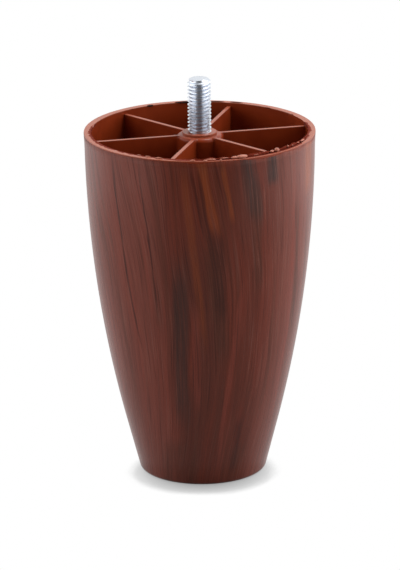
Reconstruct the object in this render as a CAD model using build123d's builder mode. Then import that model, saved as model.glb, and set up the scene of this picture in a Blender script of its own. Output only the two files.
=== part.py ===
from build123d import *
from math import atan2, cos, degrees, radians, sin, tan
import os

# A moulded plastic sofa leg. The body is one hollow injection moulding, open at the top, where
# six ribs join its tapered wall to a hub. The hub is moulded round an M8 hexagon bolt, whose
# threaded end stands out of the top and screws into the furniture.
# Millimetres, +Z up, with the origin in the middle of the foot and a rib along +X.

# Outer form
HEIGHT = 120.0
RIM_DIAMETER = 78.0
FOOT_DIAMETER = 43.0
FOOT_TAPER = 14.4  # degrees off upright where the side leaves the foot
STRAIGHT_LENGTH = 18.5  # straight stretch of the side, from the foot to where it starts to bow
FOOT_ROUND = 1.8
FLARE_WIDTH = 0.2  # how far the rim leans out past the side
FLARE_HEIGHT = 4.0
RIM_ROUND = 0.15
GATE_DIAMETER = 7.0  # shallow dimple round the moulding gate
GATE_DEPTH = 0.6
TEAR_MIDDLE = -66.0  # middle of the stretch that the trimming blade tore, in degrees from +X
TEAR_SWEEP = 92.0
TEAR_DIAMETER = 75.4
TEAR_WIDTH = 1.0
TEAR_DEPTH = 0.6  # in the middle, running out to nothing at both ends

# Hollow inside
WALL = 2.2
FLOOR = 3.0
RIB_COUNT = 6
RIB_THICKNESS = 1.3
RIB_DROP = 1.3  # from the rim down to the tops of the ribs
CORE_DRAFT = 0.25  # degrees on each side of a rib and on the hub
CORNER_ROUND = 0.8  # where a rib meets the hub
HUB_DIAMETER = 15.6
HUB_DROP = 1.2
HUB_ROUND = 1.4
COLLAR_DIAMETER = 11.8
COLLAR_DROP = 0.4
COLLAR_ROUND = 0.25

# Bolt, ISO metric M8 with the shank at the rolled blank's diameter
THREAD_DIAMETER = 8.0
SHANK_DIAMETER = 7.2
BOLT_LENGTH = 45.0
BOLT_REACH = 18.9  # thread standing out of the collar
TIP_ROUND = 1.5
HEAD_ACROSS_FLATS = 13.0
HEAD_HEIGHT = 5.3
HEAD_CHAMFER = 30.0  # degrees off the head's end face

# Levels and angles worked out from the above
rib_top = HEIGHT - RIB_DROP
hub_top = HEIGHT - HUB_DROP
collar_top = HEIGHT - COLLAR_DROP
head_top = collar_top + BOLT_REACH - BOLT_LENGTH
head_bottom = head_top - HEAD_HEIGHT
half_angle = 180 / RIB_COUNT
rib_meeting = RIB_THICKNESS / 2 / sin(radians(half_angle))  # where the sides of two ribs would meet
tear_rise = TEAR_DEPTH / (1 - cos(radians(TEAR_SWEEP / 2)))  # of the blade's tilted path, over a radius
tear_tilt = degrees(atan2(tear_rise, TEAR_DIAMETER / 2))


def draw_side(inset):
    """Draws the leg's side in section, moved in by inset: straight off the foot, then bowed to the rim."""
    foot = Vector(FOOT_DIAMETER / 2, 0) + Vector(-inset, 0).rotate(Axis.Z, -FOOT_TAPER)
    straight = PolarLine(foot, STRAIGHT_LENGTH, 90 - FOOT_TAPER)
    bow = TangentArc(straight @ 1, (RIM_DIAMETER / 2 - inset, HEIGHT), tangent=straight % 1)
    return straight, bow


# Bolt: hexagon head and plain shank in the plastic, and the thread as its outer cylinder
with BuildPart() as fixing_bolt:
    with BuildSketch(Plane.XY.offset(head_bottom)):
        RegularPolygon(HEAD_ACROSS_FLATS / 2, 6, major_radius=False)
    extrude(amount=HEAD_HEIGHT)
    with BuildSketch(Plane.XY.offset(head_bottom)):
        Circle(HEAD_ACROSS_FLATS / 2)
    extrude(amount=HEAD_HEIGHT, taper=HEAD_CHAMFER - 90, mode=Mode.INTERSECT)
    with BuildSketch(Plane.XY.offset(head_top)):
        Circle(SHANK_DIAMETER / 2)
    extrude(amount=collar_top - head_top)
    with BuildSketch(Plane.XY.offset(collar_top)):
        Circle(THREAD_DIAMETER / 2)
    extrude(amount=BOLT_REACH)
    fillet(fixing_bolt.faces().sort_by(Axis.Z)[-1].edges(), TIP_ROUND)

# Hollow: the ring-shaped space between the hub and the wall, open past the rim
with BuildPart() as hollow:
    with BuildSketch(Plane.XZ) as section:
        with BuildLine():
            wall_straight, wall_bow = draw_side(WALL)
            hub_spread = hub_top * tan(radians(CORE_DRAFT))
            hub_line = Line((HUB_DIAMETER / 2 + hub_spread, 0), (HUB_DIAMETER / 2, hub_top))
            collar_line = Line((COLLAR_DIAMETER / 2, hub_top), (COLLAR_DIAMETER / 2, collar_top))
            Line(hub_line @ 1, collar_line @ 0)
            Polyline(collar_line @ 1, (0, collar_top), (0, HEIGHT + WALL), wall_bow @ 1)
            Line(wall_straight @ 0, hub_line @ 0)
        make_face()
        fillet(section.vertices().sort_by_distance(hub_line @ 1)[0], HUB_ROUND)
        fillet(section.vertices().sort_by_distance(collar_line @ 1)[0], COLLAR_ROUND)
    revolve(axis=Axis.Z)
    split(bisect_by=Plane.XY.offset(FLOOR), keep=Keep.TOP)

# Mouth: the part of the hollow above the ribs, all the way round
with BuildPart() as mouth:
    add(hollow.part)
    split(bisect_by=Plane.XY.offset(rib_top), keep=Keep.TOP)

# Pocket: the space that one core of the mould leaves between two ribs
with BuildPart() as pocket:
    with BuildSketch(Plane.XY.offset(rib_top).rotated((0, 0, half_angle))):
        with BuildLine():
            left_rib = PolarLine((rib_meeting, 0), RIM_DIAMETER, half_angle)
            right_rib = PolarLine((rib_meeting, 0), RIM_DIAMETER, -half_angle)
            Line(left_rib @ 1, right_rib @ 1)
        make_face()
    extrude(amount=-rib_top)
    rib_sides = pocket.faces().filter_by(Axis.Z, reverse=True).sort_by_distance((0, 0, 0))[:2]
    draft(rib_sides, Plane.XY.offset(rib_top), -CORE_DRAFT)
    add(hollow.part, mode=Mode.INTERSECT)
    hub_face = pocket.faces().filter_by(GeomType.CONE).sort_by_distance((0, 0, HEIGHT / 2))[0]
    fillet(hub_face.edges().sort_by(SortBy.LENGTH)[-2:], CORNER_ROUND)

# Leg body: the outer form, cored out, with the bolt's seat and the marks of trimming at the rim
with BuildPart() as leg_body:
    with BuildSketch(Plane.XZ):
        with BuildLine():
            side_straight, side_bow = draw_side(0)
            Polyline(side_bow @ 1, (0, HEIGHT), (0, 0), side_straight @ 0)
        make_face()
        with BuildLine():
            flare = Line((RIM_DIAMETER / 2 - WALL / 2, HEIGHT), (RIM_DIAMETER / 2 + FLARE_WIDTH, HEIGHT))
            Polyline(flare @ 1, (RIM_DIAMETER / 2 - FLARE_WIDTH, HEIGHT - 2 * FLARE_HEIGHT), flare @ 0)
        make_face()
    revolve(axis=Axis.Z)
    fillet(leg_body.edges().sort_by(Axis.Z)[0], FOOT_ROUND)
    fillet(leg_body.edges().sort_by(Axis.Z)[-1], RIM_ROUND)
    add(mouth.part, mode=Mode.SUBTRACT)
    with PolarLocations(0, RIB_COUNT):
        add(pocket.part, mode=Mode.SUBTRACT)
    add(fixing_bolt.part, mode=Mode.SUBTRACT)
    with BuildSketch(Plane.XY):
        Circle(GATE_DIAMETER / 2)
    extrude(amount=GATE_DEPTH, mode=Mode.SUBTRACT)
    blade_path = Plane.XY.offset(HEIGHT + tear_rise - TEAR_DEPTH).rotated((0, tear_tilt, 0))
    with BuildSketch(blade_path.rotated((0, 0, TEAR_MIDDLE))):
        Circle((TEAR_DIAMETER + TEAR_WIDTH) / 2)
        Circle((TEAR_DIAMETER - TEAR_WIDTH) / 2, mode=Mode.SUBTRACT)
    extrude(amount=TEAR_WIDTH, mode=Mode.SUBTRACT)

os.makedirs("parts", exist_ok=True)
leg_body.part.label = "leg_body"
export_step(leg_body.part, "parts/leg_body.step")
fixing_bolt.part.label = "fixing_bolt"
export_step(fixing_bolt.part, "parts/fixing_bolt.step")
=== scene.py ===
import bpy
import math
import random
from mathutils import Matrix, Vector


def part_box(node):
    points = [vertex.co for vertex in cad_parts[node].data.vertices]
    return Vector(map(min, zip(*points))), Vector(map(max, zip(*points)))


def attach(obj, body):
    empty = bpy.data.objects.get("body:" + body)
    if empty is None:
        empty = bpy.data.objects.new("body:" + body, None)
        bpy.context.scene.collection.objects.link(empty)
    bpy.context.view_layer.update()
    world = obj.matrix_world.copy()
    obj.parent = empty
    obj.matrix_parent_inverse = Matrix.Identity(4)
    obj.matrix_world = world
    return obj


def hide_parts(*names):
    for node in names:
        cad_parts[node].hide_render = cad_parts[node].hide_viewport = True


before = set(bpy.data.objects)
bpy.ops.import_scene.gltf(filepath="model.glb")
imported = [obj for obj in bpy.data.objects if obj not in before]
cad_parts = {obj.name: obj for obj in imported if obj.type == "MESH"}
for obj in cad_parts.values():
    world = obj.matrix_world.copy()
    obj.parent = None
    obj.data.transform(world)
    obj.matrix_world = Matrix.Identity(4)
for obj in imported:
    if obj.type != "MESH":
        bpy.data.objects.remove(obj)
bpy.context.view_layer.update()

# Fixing bolt
# A zinc-plated M8 hexagon bolt with a rolled thread. The leg is moulded round its head and shank. Its
# thread stands out of the collar and screws into the furniture.
bolt_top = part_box("fixing_bolt")[1].z
COLLAR_TOP = 0.1196
PITCH = 0.00125
THREAD_RADIUS = 0.004
ROOT_RADIUS = 0.00326
CREST_FLAT = PITCH / 8
ROOT_FLAT = PITCH / 5
EDGE_DEPTH = 0.12  # of a flank's depth, for the steeper strip at its crest and at its root
EDGE_WIDTH = 0.45  # width of that strip, where an even flank's is 1
TIP_ROUND = 0.0015
TIP_WEAR = 0.00035  # how much lower the worn tip stands than the solid's
THREAD_STEPS = 72
SHANK_SEAM = 0.00002  # from the end of the shank's mesh up to the start of the thread's
BOLT_SMOOTH = math.radians(25)  # edges up to this angle are shaded smooth
MERGE = 0.000002  # vertices that lie this near to each other are made one
CUT_MERGE = 0.00001  # the same for the slivers along a cut thread
CUT_EXACT = 1e-8  # vertices that lie this near to a cut's plane count as on it
ZINC_BRIGHT = (0.70, 0.74, 0.80, 1)
ZINC_DULL = (0.62, 0.66, 0.72, 1)


def start_outline(name):
    """Adds a mesh of one vertex on the leg's axis, which stays in edit mode to be extruded."""
    bpy.ops.object.select_all(action="DESELECT")
    bpy.ops.mesh.primitive_plane_add(size=0.001, location=(0, 0, 0))
    piece = bpy.context.object
    piece.name = name
    bpy.ops.object.mode_set(mode="EDIT")
    bpy.ops.mesh.merge(type="CENTER")
    return piece


def extrude(step):
    """Extrudes the last vertex of the outline by a step."""
    bpy.ops.mesh.extrude_region_move(TRANSFORM_OT_translate={"value": step})


def merge(distance):
    """Merges the doubles of the mesh that is being edited."""
    bpy.ops.mesh.select_all(action="SELECT")
    bpy.ops.mesh.remove_doubles(threshold=distance)


def cut_off(level, side):
    """Cuts off what the mesh has above a level, or below it where side is -1, and closes the cut."""
    merge(MERGE)
    bpy.ops.mesh.bisect(
        plane_co=(0, 0, level), plane_no=(0, 0, side), clear_outer=True, use_fill=True,
        threshold=CUT_EXACT,
    )


def face_outwards():
    """Turns all faces of the mesh outwards and leaves edit mode."""
    bpy.ops.mesh.select_all(action="SELECT")
    bpy.ops.mesh.normals_make_consistent(inside=False)
    bpy.ops.object.mode_set(mode="OBJECT")


def new_material(name):
    """A material with only a Principled shader on it; gives the material, its tree and the shader."""
    material = bpy.data.materials.new(name)
    material.use_nodes = True
    tree = material.node_tree
    tree.nodes.clear()
    output = tree.nodes.new("ShaderNodeOutputMaterial")
    shader = tree.nodes.new("ShaderNodeBsdfPrincipled")
    tree.links.new(shader.outputs["BSDF"], output.inputs["Surface"])
    return material, tree, shader


def put(tree, socket, value):
    """Joins a socket to another one, or sets it to a plain value."""
    if isinstance(value, bpy.types.NodeSocket):
        tree.links.new(value, socket)
    else:
        socket.default_value = value


def ease(tree, value, start, end, low=0.0, high=1.0, kind="SMOOTHSTEP"):
    """Low where value is at start, high where it is at end, and a smooth change between."""
    made = tree.nodes.new("ShaderNodeMapRange")
    made.interpolation_type = kind
    given = {"Value": value, "From Min": start, "From Max": end, "To Min": low, "To Max": high}
    for name, part in given.items():
        put(tree, made.inputs[name], part)
    return made.outputs["Result"]


def noise(tree, place, scale, detail=2.0, roughness=0.5):
    """Noise between 0 and 1 at a place."""
    made = tree.nodes.new("ShaderNodeTexNoise")
    put(tree, made.inputs["Vector"], place)
    made.inputs["Scale"].default_value = scale
    made.inputs["Detail"].default_value = detail
    made.inputs["Roughness"].default_value = roughness
    return made.outputs["Fac"]


def blend(tree, share, first, second):
    """First colour where share is 0, second where it is 1."""
    made = tree.nodes.new("ShaderNodeMix")
    made.data_type = "RGBA"
    put(tree, made.inputs["Factor"], share)
    put(tree, made.inputs["A"], first)
    put(tree, made.inputs["B"], second)
    return made.outputs["Result"]


def zinc_plating():
    """Bright bluish zinc, a little cloudy."""
    material, tree, shader = new_material("zinc_plating")
    place = tree.nodes.new("ShaderNodeTexCoord").outputs["Object"]
    cloud = noise(tree, place, 250.0)
    colour = blend(tree, ease(tree, cloud, 0.35, 0.7), ZINC_BRIGHT, ZINC_DULL)
    tree.links.new(colour, shader.inputs["Base Color"])
    tree.links.new(ease(tree, cloud, 0.3, 0.7, 0.28, 0.36), shader.inputs["Roughness"])
    shader.inputs["Metallic"].default_value = 1.0
    return material


tip = bolt_top - TIP_WEAR
depth = THREAD_RADIUS - ROOT_RADIUS
flank = (PITCH - CREST_FLAT - ROOT_FLAT) / 2
edge_out = depth * EDGE_DEPTH
edge_up = flank * EDGE_DEPTH * EDGE_WIDTH
falling = ((-edge_out, edge_up), (2 * edge_out - depth, flank - 2 * edge_up), (-edge_out, edge_up))
rising = [(-out, up) for out, up in falling]
one_turn = [(0, CREST_FLAT), *falling, (0, ROOT_FLAT), *rising]

thread = start_outline("thread")
bpy.ops.transform.translate(value=(THREAD_RADIUS, 0, COLLAR_TOP - PITCH))
for turn in range(math.ceil((tip - COLLAR_TOP) / PITCH) + 2):
    for out, up in one_turn:
        extrude((out, 0, up))
bpy.ops.object.mode_set(mode="OBJECT")
helix = thread.modifiers.new("helix", "SCREW")
helix.axis = "Z"
helix.angle = 2 * math.pi
helix.screw_offset = PITCH
helix.steps = THREAD_STEPS
helix.render_steps = THREAD_STEPS
bpy.ops.object.modifier_apply(modifier="helix")
bpy.ops.object.mode_set(mode="EDIT")
cut_off(COLLAR_TOP, -1)
cut_off(tip, 1)
merge(CUT_MERGE)
face_outwards()
for vertex in thread.data.vertices:
    into_round = max(0.0, vertex.co.z - (tip - TIP_ROUND))
    most = THREAD_RADIUS - TIP_ROUND + math.sqrt(max(0.0, TIP_ROUND ** 2 - into_round ** 2))
    radius = math.hypot(vertex.co.x, vertex.co.y)
    if radius > most:
        vertex.co.x *= most / radius
        vertex.co.y *= most / radius

plain_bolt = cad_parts["fixing_bolt"]
bolt = plain_bolt.copy()
bolt.data = plain_bolt.data.copy()
bolt.name = "threaded_bolt"
bpy.context.scene.collection.objects.link(bolt)
bpy.ops.object.select_all(action="DESELECT")
bolt.select_set(True)
bpy.context.view_layer.objects.active = bolt
bpy.ops.object.mode_set(mode="EDIT")
cut_off(COLLAR_TOP - SHANK_SEAM, 1)
face_outwards()
thread.select_set(True)
bpy.ops.object.join()
bpy.ops.object.shade_smooth_by_angle(angle=BOLT_SMOOTH)
bolt.data.materials.clear()
bolt.data.materials.append(zinc_plating())
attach(bolt, "root")
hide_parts("fixing_bolt")

# Leg moulding
# The whole leg is one hollow moulding in red-brown plastic, cored from above, so that the wall, the six
# ribs and the hub are one piece. The bare plastic shows inside, on the trimmed rim and under the foot.
leg_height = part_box("leg_body")[1].z
FRONT_TURN = math.radians(13.78)  # from the leg's front, where the rim is torn, round to -Y
RIM_RADIUS = 0.039
WALL = 0.0022
HUB_RADIUS = 0.0078
COLLAR_RADIUS = 0.0059
TOPS_DROP = 0.0016  # the tops of ribs, hub and collar lie within this of the rim
RIB_SCUFF_AND_HIGHLIGHT = 0.5  # how far the tops are paled by scuffs and by a painted highlight, where 1 is wholly
HUB_SCUFF_AND_HIGHLIGHT = 0.2
COLLAR_SCUFF_AND_HIGHLIGHT = 0.4
RIM_SCUFF_AND_HIGHLIGHT = 0.15
# How far out from the wall's inner face the rim is torn, in millimetres: at the back, and its changes on
# the way round from the left, each with the angles from the front between which it comes about
TEAR_REACH = -0.8
TEAR_CHANGES = ((-135.0, -75.0, 1.7), (-26.0, -5.0, 2.0), (52.0, 72.0, -2.0), (95.0, 112.0, -1.3))
TEAR_RAGGED = 1.0  # how far the torn stretch's ragged edge strays
PLASTIC_DEEP = (0.165, 0.020, 0.0045, 1)
PLASTIC_LIGHT = (0.215, 0.029, 0.007, 1)
# Torn plastic, painted darker for the shade in its rough, cut face
PLASTIC_TORN_SHADED = (0.125, 0.0125, 0.003, 1)
# Pale plastic: scuffs on the tops together with their painted highlight, and the pale flakes
PLASTIC_PALE = (0.370, 0.125, 0.075, 1)

top_mm = leg_height * 1000  # the materials work in millimetres
inner_mm = (RIM_RADIUS - WALL) * 1000


def work_out(tree, operation, *values):
    """A Math node on numbers or sockets; gives its result."""
    made = tree.nodes.new("ShaderNodeMath")
    made.operation = operation
    for socket, value in zip(made.inputs, values):
        put(tree, socket, value)
    return made.outputs[0]


def bump(tree, shader, height, strength, distance):
    """Roughens the shader's surface by a height between 0 and 1."""
    made = tree.nodes.new("ShaderNodeBump")
    made.inputs["Strength"].default_value = strength
    made.inputs["Distance"].default_value = distance
    put(tree, made.inputs["Height"], height)
    tree.links.new(made.outputs["Normal"], shader.inputs["Normal"])


def round_leg(tree):
    """Place on the leg, and its angle from the front in degrees, radius and height in millimetres."""
    place = tree.nodes.new("ShaderNodeTexCoord").outputs["Object"]
    turned = tree.nodes.new("ShaderNodeMapping")
    turned.inputs["Rotation"].default_value = (0, 0, FRONT_TURN)
    tree.links.new(place, turned.inputs["Vector"])
    split = tree.nodes.new("ShaderNodeSeparateXYZ")
    tree.links.new(turned.outputs[0], split.inputs[0])
    aside, ahead, above = split.outputs
    forward = work_out(tree, "MULTIPLY", ahead, -1.0)
    angle = work_out(tree, "DEGREES", work_out(tree, "ARCTAN2", aside, forward))
    squares = [work_out(tree, "POWER", part, 2.0) for part in (aside, ahead)]
    radius = work_out(tree, "SQRT", work_out(tree, "ADD", *squares))
    radius = work_out(tree, "MULTIPLY", radius, 1000.0)
    height = work_out(tree, "MULTIPLY", above, 1000.0)
    return place, angle, radius, height


def scuffs_and_highlight_on_tops(tree, radius, height, speckle):
    """How far the plastic is paled by scuffs and a painted highlight: along the tops of ribs, hub and
    collar, and less on the rim.
    """
    hub = HUB_RADIUS * 1000
    collar = COLLAR_RADIUS * 1000
    drop = TOPS_DROP * 1000
    rubbed_and_lit = ease(tree, radius, hub + 0.2, hub + 2.2, HUB_SCUFF_AND_HIGHLIGHT, RIB_SCUFF_AND_HIGHLIGHT)
    on_collar = ease(tree, radius, collar + 0.3, collar - 0.3, 0.0, COLLAR_SCUFF_AND_HIGHLIGHT - HUB_SCUFF_AND_HIGHLIGHT)
    rubbed_and_lit = work_out(tree, "ADD", rubbed_and_lit, on_collar)
    near_top = ease(tree, height, top_mm - drop, top_mm - drop * 0.8)
    off_wall = ease(tree, radius, inner_mm - 0.1, inner_mm - 0.4)
    off_wall = work_out(tree, "MAXIMUM", off_wall, ease(tree, height, top_mm - 0.3, top_mm - 0.05))
    tops = work_out(tree, "MULTIPLY", work_out(tree, "MULTIPLY", near_top, rubbed_and_lit), off_wall)
    rim = ease(tree, height, top_mm - 0.5, top_mm - 0.1, 0.0, RIM_SCUFF_AND_HIGHLIGHT)
    scuff_and_highlight = work_out(tree, "ADD", tops, rim)
    return work_out(tree, "MULTIPLY", scuff_and_highlight, ease(tree, speckle, 0.25, 0.75, 0.7, 1.2, "LINEAR"))


def torn_and_shaded_stretch(tree, place, angle, radius, height):
    """1 where the blade tore the rim, from its inner edge out to a ragged line.
    There the plastic is painted dark, for the shade in its rough face.
    """
    reach = inner_mm + TEAR_REACH
    for start, end, change in TEAR_CHANGES:
        reach = work_out(tree, "ADD", reach, ease(tree, angle, start, end, 0.0, change))
    tatter = noise(tree, place, 250.0, 4.0, 0.7)
    ragged = ease(tree, tatter, 0.2, 0.8, -TEAR_RAGGED, TEAR_RAGGED, "LINEAR")
    past_tear = work_out(tree, "SUBTRACT", work_out(tree, "ADD", radius, ragged), reach)
    torn_and_shaded = ease(tree, past_tear, 0.15, -0.15)
    torn_and_shaded = work_out(tree, "MULTIPLY", torn_and_shaded, ease(tree, radius, inner_mm + 2.2, inner_mm + 2.0))
    torn_and_shaded = work_out(tree, "MULTIPLY", torn_and_shaded, ease(tree, radius, inner_mm - 0.5, inner_mm - 0.2))
    return work_out(tree, "MULTIPLY", torn_and_shaded, ease(tree, height, top_mm - 1.0, top_mm - 0.8))


def bare_plastic():
    """Red-brown plastic off the mould: faint flow marks, pale scuffs and a painted highlight on the
    tops, dull where torn and painted dark there for shade.
    """
    material, tree, shader = new_material("bare_plastic")
    place, angle, radius, height = round_leg(tree)
    flow = noise(tree, place, 90.0, 3.0)
    speckle = noise(tree, place, 1500.0, 3.0)
    torn_and_shaded = torn_and_shaded_stretch(tree, place, angle, radius, height)
    colour = blend(tree, ease(tree, flow, 0.3, 0.7), PLASTIC_DEEP, PLASTIC_LIGHT)
    # Scuffs and a painted highlight pale the tops of ribs, hub, collar and rim
    colour = blend(tree, scuffs_and_highlight_on_tops(tree, radius, height, speckle), colour, PLASTIC_PALE)
    # Painted shade: the torn stretch is darker for the shade in its rough face
    colour = blend(tree, torn_and_shaded, colour, PLASTIC_TORN_SHADED)
    tree.links.new(colour, shader.inputs["Base Color"])
    tree.links.new(ease(tree, torn_and_shaded, 0.0, 1.0, 0.3, 0.85), shader.inputs["Roughness"])
    shader.inputs["IOR"].default_value = 1.25
    bump(tree, shader, speckle, 0.15, 0.00004)
    return material


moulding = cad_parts["leg_body"]
plastic = bare_plastic()
moulding.data.materials.clear()
moulding.data.materials.append(plastic)

# Wood-grain film
# A printed film is heat-pressed onto the outside of the moulding and trimmed with a blade at the rim.
# It carries dark rosewood streaks that lean a little round the leg, under a satin lacquer.
FOOT_RADIUS = 0.0215
FOOT_TAPER = math.radians(14.4)
FOOT_ROUND = 0.0018
STRAIGHT_LENGTH = 0.0185
FLARE_WIDTH = 0.0002
FLARE_HEIGHT = 0.004
FILM_LIFT = 0.00005  # from the moulding's face out to the film's
FILM_THICKNESS = 0.00011
FILM_EDGE = 0.0004  # from the rim down to the film's cut edge
CUT_NICKS = 0.00012  # how deep the blade's small nicks in that edge are
# Dips of the cut edge: angle from the front, half width in degrees and depth in millimetres
DIPS = ((-2.0, 7.0, 0.45), (34.0, 12.0, 0.5), (55.0, 10.0, 0.3), (72.0, 8.0, 0.5))
FILM_START = math.radians(-72)  # where on the foot's round the film begins
FILM_AROUND = 360
FILM_RINGS = 60
FOOT_RINGS = 6
DRUM = 0.9 * RIM_RADIUS * 1000  # radius of the drum that the print is laid out on, in millimetres
GRAIN_BOW = 10.0  # degrees that the grain bows round the leg at half height
GRAIN_SLANT = 11.0  # degrees that it leans from the rim to the foot, on the right
GRAIN_WANDER = 4.0  # degrees that it strays to either side
SIDE_LIGHT_LEFT = (-12.0, -30.0)  # angles between which painted light turns the print paler, on either side of the front
SIDE_LIGHT_RIGHT = (30.0, 50.0)
SIDE_LIGHT_BEHIND = (125.0, 85.0)  # the same, coming from the back
FIGURE_MIDDLE = 3.0  # angle of the dark figure on the front
DARK_GRAIN = (0.028, 0.007, 0.005, 1)
GREY_GRAIN = (0.034, 0.017, 0.014, 1)
BROWN_GRAIN = (0.062, 0.018, 0.010, 1)
RED_GRAIN = (0.185, 0.038, 0.024, 1)
ORANGE_GRAIN = (0.250, 0.052, 0.012, 1)
CLOUD_DEEP = (0.085, 0.0185, 0.0105, 1)
CLOUD_LIGHT = (0.118, 0.0215, 0.0113, 1)
PAINTED_SIDE_LIGHT = (0.192, 0.052, 0.037, 1)
PALE_HAIR = (0.190, 0.080, 0.062, 1)
PALE_FIBRE = (0.190, 0.074, 0.054, 1)
# Streaks: angle and height of the upper end and of the lower end, half width, ink and strength, with
# angles and half widths in degrees and heights in millimetres
STREAKS = (
    (-9.0, 119, 2.0, 52, 2.0, ORANGE_GRAIN, 0.33),
    (-0.5, 122, 8.0, 93, 2.2, ORANGE_GRAIN, 0.55),
    (11.0, 119, 16.0, 98, 1.2, ORANGE_GRAIN, 0.45),
    (68.0, 128, 70.0, 101, 4.6, ORANGE_GRAIN, 0.7),
    (-52.0, 119, -38.0, 50, 3.0, RED_GRAIN, 0.4),
    (-33.0, 119, -27.0, 60, 1.2, RED_GRAIN, 0.4),
    (23.0, 78, 11.0, 2, 1.6, RED_GRAIN, 0.55),
    (54.0, 118, 60.0, 20, 2.2, RED_GRAIN, 0.5),
    (-25.0, 60, -40.0, 8, 2.0, RED_GRAIN, 0.3),
    (-23.0, 62, -25.0, 16, 3.0, RED_GRAIN, 0.45),
    (-3.0, 70, -3.0, 28, 2.4, RED_GRAIN, 0.5),
    (-10.5, 86, -14.0, 22, 4.6, GREY_GRAIN, 0.75),
    (-4.5, 118, 2.0, 92, 0.9, DARK_GRAIN, 0.6),
    (-1.5, 118, 7.0, 84, 0.7, DARK_GRAIN, 0.6),
    (6.0, 94, 12.0, 46, 4.6, BROWN_GRAIN, 0.75),
    (7.0, 97, 12.0, 62, 3.2, DARK_GRAIN, 0.5),
    (21.5, 126, 29.5, 97, 3.6, GREY_GRAIN, 0.9),
    (37.5, 125, 38.5, 109, 3.2, GREY_GRAIN, 0.95),
    (28.0, 112, 32.0, 72, 2.4, BROWN_GRAIN, 0.6),
    (57.0, 104, 64.0, 50, 1.8, BROWN_GRAIN, 0.7),
    (-49.0, 121, -37.5, 50, 0.55, DARK_GRAIN, 0.85),
    (-31.5, 120, -23.5, 62, 0.55, DARK_GRAIN, 0.8),
    (-69.0, 119, -62.0, 88, 1.2, DARK_GRAIN, 0.3),
    (-20.0, 18, -34.0, -6, 9.0, BROWN_GRAIN, 0.5),
    (30.0, 16, 20.0, -6, 8.0, BROWN_GRAIN, 0.4),
    (27.0, 26, 25.0, 4, 3.0, DARK_GRAIN, 0.55),
)

straight_end = (
    FOOT_RADIUS + STRAIGHT_LENGTH * math.sin(FOOT_TAPER), STRAIGHT_LENGTH * math.cos(FOOT_TAPER)
)
bow_radius = (leg_height - straight_end[1]) / math.sin(FOOT_TAPER)
bow_middle = straight_end[0] - bow_radius * math.cos(FOOT_TAPER)


def side_radius(height):
    """Radius of the leg's outside at a height: straight off the foot, a long arc, the flared rim."""
    if height < straight_end[1]:
        return FOOT_RADIUS + height * math.tan(FOOT_TAPER)
    bow = bow_middle + math.sqrt(bow_radius ** 2 - (leg_height - height) ** 2)
    flare = RIM_RADIUS + FLARE_WIDTH * (1 - (leg_height - height) / FLARE_HEIGHT)
    return max(bow, flare) if leg_height - height < 2 * FLARE_HEIGHT else bow


def film_outline():
    """Points of the film in section, as radius and height, from the foot's round to the cut edge."""
    round_x = FOOT_RADIUS - FOOT_ROUND * (1 - math.sin(FOOT_TAPER)) / math.cos(FOOT_TAPER)
    reach = FOOT_ROUND + FILM_LIFT
    points = []
    for step in range(FOOT_RINGS):
        angle = FILM_START + (-FOOT_TAPER - FILM_START) * step / FOOT_RINGS
        points.append((round_x + reach * math.cos(angle), FOOT_ROUND + reach * math.sin(angle)))
    low = FOOT_ROUND * (1 - math.sin(FOOT_TAPER))
    high = leg_height - FILM_EDGE
    for step in range(FILM_RINGS + 1):
        height = low + (high - low) * step / FILM_RINGS
        points.append((side_radius(height) + FILM_LIFT, height))
    return points


def lathe(name, points, around, start=0.0, sweep=2 * math.pi):
    """Draws an outline from one vertex by extruding it, and spins it round the leg's axis."""
    piece = start_outline(name)
    last = (0.0, 0.0)
    for count, (radius, height) in enumerate(points):
        out = radius - last[0]
        step = (out * math.cos(start), out * math.sin(start), height - last[1])
        if count:
            extrude(step)
        else:
            bpy.ops.transform.translate(value=step)
        last = (radius, height)
    bpy.ops.mesh.select_all(action="SELECT")
    bpy.ops.mesh.spin(steps=around, angle=-sweep, center=(0, 0, 0), axis=(0, 0, 1))
    merge(MERGE)
    face_outwards()
    bpy.ops.object.shade_smooth()
    return piece


def facing(degrees):
    """Angle from +X of a direction that is given in degrees round from the front, to the right."""
    return math.radians(degrees - 90) - FRONT_TURN


def on_film(tree, angle, height, turn, stretch):
    """A place on the film, laid out on a drum, with the grain turned by some degrees and drawn out."""
    turned = work_out(tree, "RADIANS", work_out(tree, "SUBTRACT", angle, turn))
    made = tree.nodes.new("ShaderNodeCombineXYZ")
    put(tree, made.inputs[0], work_out(tree, "MULTIPLY", work_out(tree, "COSINE", turned), DRUM))
    put(tree, made.inputs[1], work_out(tree, "MULTIPLY", work_out(tree, "SINE", turned), DRUM))
    put(tree, made.inputs[2], work_out(tree, "MULTIPLY", height, stretch))
    return made.outputs[0]


def grain_turn(tree, angle, height):
    """Degrees that the grain has turned at a height: bowed on the front, slanted further right."""
    down = ease(tree, height, top_mm, 0.0, kind="LINEAR")
    bow = work_out(tree, "SINE", work_out(tree, "MULTIPLY", down, math.pi))
    bow = work_out(tree, "MULTIPLY", bow, GRAIN_BOW)
    slant = work_out(tree, "MULTIPLY", down, GRAIN_SLANT)
    lean = ease(tree, ease(tree, angle, 30.0, 60.0), 0.0, 1.0, bow, slant, "LINEAR")
    wander = noise(tree, on_film(tree, angle, height, 0.0, 0.3), 0.05, 1.0)
    wander = ease(tree, wander, 0.2, 0.8, -GRAIN_WANDER, GRAIN_WANDER, "LINEAR")
    return work_out(tree, "ADD", lean, wander)


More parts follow.
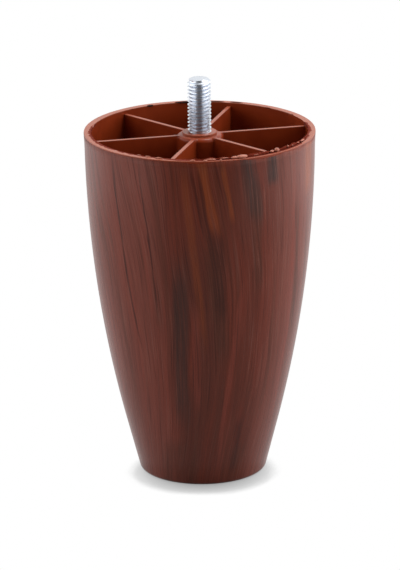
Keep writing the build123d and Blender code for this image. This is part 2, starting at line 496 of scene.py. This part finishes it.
def draw_streaks(tree, colour, angle, height, frayed):
    """Prints the strong streaks over a colour, each between its two ends and frayed."""
    for upper_angle, upper, lower_angle, lower, width, ink, strength in STREAKS:
        line = ease(tree, height, upper, lower, upper_angle, lower_angle, "LINEAR")
        off = work_out(tree, "ABSOLUTE", work_out(tree, "SUBTRACT", angle, line))
        half = (upper - lower) / 2
        past = work_out(tree, "ABSOLUTE", work_out(tree, "SUBTRACT", height, lower + half))
        share = ease(tree, off, width * 1.5, width * 0.4, 0.0, strength)
        share = work_out(tree, "MULTIPLY", share, frayed)
        share = work_out(tree, "MULTIPLY", share, ease(tree, past, half * 1.15, half * 0.6))
        colour = blend(tree, share, colour, ink)
    return colour


def rosewood_film():
    """Printed rosewood under satin lacquer: fine fibres, broader streaks and a few strong marks.
    Painted light makes it paler towards both sides.
    """
    material, tree, shader = new_material("rosewood_film")
    _, angle, _, height = round_leg(tree)
    turn = grain_turn(tree, angle, height)

    def grain(stretch, scale, detail, roughness=0.5):
        """Noise drawn out along the grain."""
        return noise(tree, on_film(tree, angle, height, turn, stretch), scale, detail, roughness)

    fibres = grain(0.035, 1.5, 4.0, 0.62)
    streaks = grain(0.03, 0.33, 3.0, 0.6)
    clouds = grain(0.16, 0.11, 2.0)
    hairs = grain(0.012, 2.6, 1.0)
    shake = ease(tree, grain(0.12, 0.4, 2.0), 0.2, 0.8, -1.0, 1.0, "LINEAR")

    colour = blend(tree, ease(tree, clouds, 0.35, 0.65), CLOUD_DEEP, CLOUD_LIGHT)
    # Painted light: the print is paler towards both sides, where the side light falls on the film
    side_light = work_out(tree, "ADD", ease(tree, angle, *SIDE_LIGHT_LEFT), ease(tree, angle, *SIDE_LIGHT_RIGHT))
    from_front = work_out(tree, "ABSOLUTE", angle)
    side_light = work_out(tree, "MULTIPLY", side_light, ease(tree, from_front, *SIDE_LIGHT_BEHIND, 0.0, 0.55))
    colour = blend(tree, side_light, colour, PAINTED_SIDE_LIGHT)
    colour = blend(tree, ease(tree, streaks, 0.52, 0.75, 0.0, 0.55), colour, BROWN_GRAIN)
    colour = blend(tree, ease(tree, streaks, 0.45, 0.25, 0.0, 0.5), colour, RED_GRAIN)
    frayed = ease(tree, fibres, 0.3, 0.62, 0.5, 1.0)
    colour = draw_streaks(tree, colour, work_out(tree, "ADD", angle, shake), height, frayed)
    colour = blend(tree, ease(tree, fibres, 0.52, 0.75, 0.0, 0.45), colour, DARK_GRAIN)
    colour = blend(tree, ease(tree, hairs, 0.56, 0.74, 0.0, 0.48), colour, DARK_GRAIN)
    from_figure = work_out(tree, "ABSOLUTE", work_out(tree, "SUBTRACT", angle, FIGURE_MIDDLE))
    bleached = ease(tree, from_figure, 12.0, 28.0, 0.45, 1.0)
    pale_hairs = work_out(tree, "MULTIPLY", ease(tree, hairs, 0.44, 0.26, 0.0, 0.36), bleached)
    pale_fibres = work_out(tree, "MULTIPLY", ease(tree, fibres, 0.46, 0.25, 0.0, 0.45), bleached)
    colour = blend(tree, pale_hairs, colour, PALE_HAIR)
    colour = blend(tree, pale_fibres, colour, PALE_FIBRE)
    tree.links.new(colour, shader.inputs["Base Color"])
    tree.links.new(ease(tree, fibres, 0.2, 0.8, 0.24, 0.34), shader.inputs["Roughness"])
    shader.inputs["IOR"].default_value = 1.22
    bump(tree, shader, fibres, 0.05, 0.00003)
    return material


film = lathe("grain_film", film_outline(), FILM_AROUND)
blade = random.Random(3)
for vertex in film.data.vertices:
    if vertex.co.z > leg_height - FILM_EDGE * 1.01:
        cut = CUT_NICKS * blade.random() ** 2
        for degrees, half, deep in DIPS:
            off = math.degrees(math.atan2(vertex.co.y, vertex.co.x) - facing(degrees))
            off = abs((off + 180) % 360 - 180)
            cut += deep / 1000 * max(0.0, 1 - (off / half) ** 2)
        vertex.co.z -= cut
skin = film.modifiers.new("thickness", "SOLIDIFY")
skin.thickness = FILM_THICKNESS
skin.offset = -1
bpy.ops.object.modifier_apply(modifier="thickness")
film.data.materials.append(rosewood_film())
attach(film, "root")

# Torn rim
# Where the blade that trims the film dug in, it turned up a ragged ridge along the rim's inner edge and
# left flakes of the plastic hanging on the rim, and scraps of the film folded over it at the far side,
# whose dark print also stands for painted shade along the far rim's inner edge.
TEAR_MIDDLE = 36.0  # degrees round from the front to the middle of the ragged ridge
TEAR_HALF = 46.0
RIDGE_STEPS = 150
RIDGE_HEIGHT = 0.0009
RIDGE_WIDTH = 0.0005
RIDGE_INSET = 0.00002  # from the wall's inner face to the ridge
RIDGE_WAVES = 5
WAVE_RATES = (12, 80)  # least and most of a wave's rate, in radians for each radian round the leg
WAVE_STARTS = (0, 6.3)  # the same of the phase that it starts with
RISE_MEAN = 0.5  # how far the ridge's top rises, of its height: on average, by its waves and by nicks
RISE_WAVES = 0.6
RISE_NICKS = 0.15
LEAN_WAVES = 0.0003  # how far the top leans out, by the same waves and by nicks
LEAN_NICKS = 0.0001
FLAKE_CRUMPLE = 0.00009
# Dark print of the film scraps, which also serves as painted shade along the far rim
SCRAP_BROWN_AND_SHADE = (0.018, 0.007, 0.006, 1)
# Flakes: angle from the front in degrees, and radius, height over the rim, length, width and thickness
# in millimetres
FLAKES = (
    (21.5, 38.0, 0.45, 4.0, 1.9, 1.3),
    (18.0, 37.7, 0.30, 2.8, 1.4, 0.9),
    (42.3, 38.0, 0.60, 1.8, 1.5, 1.5),
    (39.6, 37.5, 0.30, 1.8, 1.0, 0.9),
    (-3.6, 38.9, 0.15, 1.8, 0.7, 0.7),
    (2.6, 38.8, 0.10, 1.5, 0.8, 0.6),
    (5.6, 37.9, 0.15, 3.4, 0.9, 0.7),
    (10.2, 38.9, 0.10, 0.9, 0.6, 0.6),
    (-21.0, 37.6, 0.05, 3.0, 0.6, 0.7),
    (-27.5, 37.2, 0.05, 2.2, 0.6, 0.6),
    (-33.0, 37.0, 0.00, 1.6, 0.5, 0.5),
    (12.5, 37.2, 0.20, 3.0, 0.5, 0.5),
    (30.0, 37.1, 0.10, 2.4, 0.5, 0.5),
    (51.8, 37.3, 0.35, 0.8, 0.6, 1.0),
    (56.1, 37.2, 0.10, 1.1, 0.5, 0.5),
    (62.0, 37.2, 0.05, 1.3, 0.5, 0.5),
    (66.5, 37.5, 0.15, 3.2, 0.8, 0.6),
    (140.4, 36.9, -0.05, 2.4, 0.6, 0.6),
    (-100.5, 36.8, -0.25, 2.6, 0.4, 0.9),
    (120.5, 36.9, 0.05, 1.4, 0.6, 0.6),
)
# Scraps of the film that the blade folded in over the far side of the rim, also painted shade there,
# written in the same way
FILM_SCRAPS_AND_SHADE = (
    (-152.5, 36.9, -0.10, 2.6, 0.8, 0.7),
    (-172.0, 37.0, 0.00, 7.0, 1.2, 0.7),
    (171.0, 37.4, 0.00, 6.0, 0.9, 0.4),
    (160.0, 37.6, 0.00, 5.0, 0.7, 0.4),
)


def add_flake(number, degrees, radius, over, length, width, thickness):
    """Adds one crumpled flake on the rim to the mesh that is being edited."""
    angle = facing(degrees)
    place_mm = (radius * math.cos(angle), radius * math.sin(angle), top_mm + over)
    bpy.ops.mesh.select_all(action="DESELECT")
    # The ball is a millimetre across, so its scale is the flake's size in millimetres
    bpy.ops.mesh.primitive_ico_sphere_add(
        subdivisions=3, radius=0.0005, location=[part / 1000 for part in place_mm],
        rotation=(0, 0, angle), scale=(width, length, thickness),
    )
    bpy.ops.transform.vertex_random(offset=FLAKE_CRUMPLE, seed=number)
    bpy.ops.mesh.vertices_smooth(factor=0.4)


def flake_plastic():
    """Freshly torn plastic, paler where it has been stretched and bruised."""
    material, tree, shader = new_material("flake_plastic")
    place = tree.nodes.new("ShaderNodeTexCoord").outputs["Object"]
    bruise = noise(tree, place, 700.0, 3.0)
    height = tree.nodes.new("ShaderNodeSeparateXYZ")
    tree.links.new(place, height.inputs[0])
    stretched = ease(tree, height.outputs[2], leg_height - 0.0002, leg_height + 0.0005, 0.25, 1.0)
    stretched = work_out(tree, "MULTIPLY", stretched, ease(tree, bruise, 0.3, 0.6, 0.45, 1.0))
    colour = blend(tree, stretched, PLASTIC_LIGHT, PLASTIC_PALE)
    tree.links.new(colour, shader.inputs["Base Color"])
    shader.inputs["Roughness"].default_value = 0.5
    bump(tree, shader, bruise, 0.3, 0.0001)
    return material


def shaded_scrap_print():
    """Dark brown print on the scraps of film, cracked to the red plastic here and there.
    Its darkness also paints the shade along the far rim's inner edge.
    """
    material, tree, shader = new_material("shaded_scrap_print")
    crack = noise(tree, tree.nodes.new("ShaderNodeTexCoord").outputs["Object"], 900.0, 3.0)
    colour = blend(tree, ease(tree, crack, 0.5, 0.8), SCRAP_BROWN_AND_SHADE, PLASTIC_TORN_SHADED)
    tree.links.new(colour, shader.inputs["Base Color"])
    shader.inputs["Roughness"].default_value = 0.6
    shader.inputs["IOR"].default_value = 1.2
    bump(tree, shader, crack, 0.3, 0.0001)
    return material


inner_edge = RIM_RADIUS - WALL
ridge_foot = (inner_edge + RIDGE_WIDTH, leg_height - RIDGE_HEIGHT)
ridge_outline = [
    ridge_foot,
    (inner_edge + RIDGE_WIDTH * 0.6, leg_height),
    (inner_edge + RIDGE_WIDTH * 0.2, leg_height),
    (inner_edge + RIDGE_INSET, leg_height - RIDGE_HEIGHT),
    ridge_foot,
]
ridge_start = facing(TEAR_MIDDLE - TEAR_HALF)
ridge = lathe("torn_rim", ridge_outline, RIDGE_STEPS, ridge_start, math.radians(2 * TEAR_HALF))
tear = random.Random(7)
waves = [(tear.uniform(*WAVE_RATES), tear.uniform(*WAVE_STARTS)) for count in range(RIDGE_WAVES)]
for vertex in ridge.data.vertices:
    turn = math.atan2(vertex.co.y, vertex.co.x) - facing(TEAR_MIDDLE)
    fade = math.sqrt(max(0.0, math.cos(turn / math.radians(TEAR_HALF) * math.pi / 2)))
    wave = sum(math.sin(rate * turn + phase) for rate, phase in waves) / len(waves)
    if vertex.co.z > leg_height - RIDGE_HEIGHT / 2:
        rise = RISE_MEAN + RISE_WAVES * wave + RISE_NICKS * tear.uniform(-1, 1)
        lean = LEAN_WAVES * wave + LEAN_NICKS * tear.uniform(-1, 1)
        vertex.co.z += RIDGE_HEIGHT * rise * fade
        vertex.co.x *= 1 + lean * fade / inner_edge
        vertex.co.y *= 1 + lean * fade / inner_edge
for finish in (plastic, flake_plastic(), shaded_scrap_print()):
    ridge.data.materials.append(finish)
bpy.ops.object.mode_set(mode="EDIT")
bpy.ops.mesh.select_all(action="SELECT")
bpy.ops.mesh.fill_holes(sides=8)  # closes the ridge's two ends
for number, flake in enumerate(FLAKES + FILM_SCRAPS_AND_SHADE):
    add_flake(number, *flake)
    ridge.active_material_index = 1 if number < len(FLAKES) else 2
    bpy.ops.object.material_slot_assign()
face_outwards()
bpy.ops.object.shade_smooth()
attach(ridge, "root")

# Studio
# A white floor with the leg's contact shadow on it, soft light from both sides and above with less from
# the front, and a soft lamp high up on the right that reaches into the pockets.
FLOOR_RADIUS = 0.32
FLOOR_DEPTH = 0.00004  # how far the floor lies under the foot
FLOOR_GREY = (0.4, 0.4, 0.4, 1)
SHADOW_REACH = 0.0125
SHADOW_TILT = math.radians(55)  # the light that the shadow stands in comes from above and behind
SHADOW_LEVEL = 0.26  # what is left of the floor's white in the deepest shadow
ROOM_LIGHT = 0.95
ROOM_FRONT = 0.14  # what the dark strip from the camera's side up to overhead gives
STRIP_START = 0.3  # how far to the side a direction points where the strip starts to fade
STRIP_END = 0.85
STRIP_BACK = -0.35  # how far to the front it points where the strip begins, behind overhead
STRIP_FULL = 0.1
BOX_START = 0.45  # how far to the side it points where the soft boxes begin
BOX_END = 0.85  # and from where they are at their full strength
BOX_RIGHT = 1.6  # what they add to the room's light
BOX_LEFT = 1.2
LAMP_SIZE = 0.35
LAMP_POWER = 6.0
LAMP_ASIDE = 0.31
LAMP_BEHIND = 0.05
LAMP_HEIGHT = 0.95
CAMERA_TILT = math.radians(17.475)
CAMERA_DISTANCE = 1.4028
CAMERA_LENS = 258.92
CAMERA_ROLL = math.radians(0.62)
AIM_ASIDE = -0.000425  # where the camera aims, to the right of the leg's axis and above the floor
AIM_HEIGHT = 0.065028

to_right = (math.cos(-FRONT_TURN), math.sin(-FRONT_TURN), 0)
to_front = (math.sin(-FRONT_TURN), -math.cos(-FRONT_TURN), 0)


def white_floor():
    """White where it is seen, with the leg's contact shadow, and plain grey to all other light."""
    material, tree, shader = new_material("white_floor")
    shader.inputs["Base Color"].default_value = FLOOR_GREY
    shader.inputs["Roughness"].default_value = 1.0
    shader.inputs["Specular IOR Level"].default_value = 0.0
    lit_from = tree.nodes.new("ShaderNodeCombineXYZ")
    for socket, part in zip(lit_from.inputs, to_front):
        socket.default_value = -part * math.sin(SHADOW_TILT)
    lit_from.inputs[2].default_value = math.cos(SHADOW_TILT)
    shade = tree.nodes.new("ShaderNodeAmbientOcclusion")
    shade.samples = 16
    shade.inputs["Distance"].default_value = SHADOW_REACH
    tree.links.new(lit_from.outputs[0], shade.inputs["Normal"])
    level = ease(tree, shade.outputs["AO"], 0.1, 0.95, SHADOW_LEVEL, 1.0, "LINEAR")
    level = work_out(tree, "MAXIMUM", level, ease(tree, shade.outputs["AO"], 0.55, 0.7))
    glow = tree.nodes.new("ShaderNodeEmission")
    tree.links.new(level, glow.inputs["Strength"])
    path = tree.nodes.new("ShaderNodeLightPath")
    seen = work_out(tree, "MAXIMUM", path.outputs["Is Camera Ray"], path.outputs["Is Glossy Ray"])
    seen = work_out(tree, "MAXIMUM", seen, path.outputs["Is Transmission Ray"])
    choose = tree.nodes.new("ShaderNodeMixShader")
    for socket, result in zip(choose.inputs, (seen, shader.outputs[0], glow.outputs[0])):
        tree.links.new(result, socket)
    tree.links.new(choose.outputs[0], tree.nodes["Material Output"].inputs["Surface"])
    return material


def pointing(tree, direction, axis):
    """How far a direction points along an axis, from -1 to 1."""
    made = tree.nodes.new("ShaderNodeVectorMath")
    made.operation = "DOT_PRODUCT"
    tree.links.new(direction, made.inputs[0])
    made.inputs[1].default_value = axis
    return made.outputs["Value"]


def light_room(world):
    """Lights the room: white to the camera, even otherwise, with the soft boxes and the dark strip."""
    world.use_nodes = True
    tree = world.node_tree
    tree.nodes.clear()
    output = tree.nodes.new("ShaderNodeOutputWorld")
    sky = tree.nodes.new("ShaderNodeBackground")
    sky.inputs["Color"].default_value = (1, 1, 1, 1)
    tree.links.new(sky.outputs[0], output.inputs["Surface"])
    path = tree.nodes.new("ShaderNodeLightPath")
    direction = tree.nodes.new("ShaderNodeTexCoord").outputs["Generated"]
    aside = pointing(tree, direction, to_right)
    ahead = pointing(tree, direction, to_front)
    strip = ease(tree, work_out(tree, "ABSOLUTE", aside), STRIP_END, STRIP_START)
    strip = work_out(tree, "MULTIPLY", strip, ease(tree, ahead, STRIP_BACK, STRIP_FULL))
    from_sides = ease(tree, aside, BOX_START, BOX_END, 0.0, BOX_RIGHT)
    from_left = ease(tree, aside, -BOX_START, -BOX_END, 0.0, BOX_LEFT)
    from_sides = work_out(tree, "ADD", from_sides, from_left)
    mirrored, through = path.outputs["Is Glossy Ray"], path.outputs["Is Transmission Ray"]
    shiny = work_out(tree, "MAXIMUM", mirrored, through)
    light = ease(tree, shiny, 0.0, 1.0, ROOM_LIGHT, 1.0, "LINEAR")
    light = ease(tree, strip, 0.0, 1.0, light, ROOM_FRONT, "LINEAR")
    light = work_out(tree, "ADD", light, from_sides)
    light = ease(tree, path.outputs["Is Camera Ray"], 0.0, 1.0, light, 1.0, "LINEAR")
    tree.links.new(light, sky.inputs["Strength"])


bpy.ops.object.select_all(action="DESELECT")
bpy.ops.mesh.primitive_circle_add(
    vertices=96, radius=FLOOR_RADIUS, fill_type="NGON", location=(0, 0, -FLOOR_DEPTH)
)
floor = bpy.context.object
floor.name = "floor"
floor.data.materials.append(white_floor())

bpy.context.scene.world = bpy.data.worlds.new("studio")
light_room(bpy.context.scene.world)

lamp_data = bpy.data.lights.new("soft_lamp", "AREA")
lamp_data.shape = "DISK"
lamp_data.size = LAMP_SIZE
lamp_data.energy = LAMP_POWER
lamp = bpy.data.objects.new("soft_lamp", lamp_data)
bpy.context.scene.collection.objects.link(lamp)
lamp.location = [LAMP_ASIDE * right - LAMP_BEHIND * ahead for right, ahead in zip(to_right, to_front)]
lamp.location.z = LAMP_HEIGHT
lamp.rotation_mode = "QUATERNION"
lamp.rotation_quaternion = lamp.location.to_track_quat("Z", "Y")

camera_data = bpy.data.cameras.new("camera")
camera_data.lens = CAMERA_LENS
camera_data.sensor_width = 36
camera_data.clip_start = 0.01
camera = bpy.data.objects.new("camera", camera_data)
bpy.context.scene.collection.objects.link(camera)
bpy.context.scene.camera = camera
back = [part * math.cos(CAMERA_TILT) for part in to_front[:2]] + [math.sin(CAMERA_TILT)]
camera.location = [AIM_ASIDE * right + CAMERA_DISTANCE * part for right, part in zip(to_right, back)]
camera.location.z += AIM_HEIGHT
camera.rotation_euler = (math.pi / 2 - CAMERA_TILT, 0, -FRONT_TURN)
camera.rotation_euler.rotate_axis("Z", -CAMERA_ROLL)

bpy.context.scene.view_settings.view_transform = "Standard"
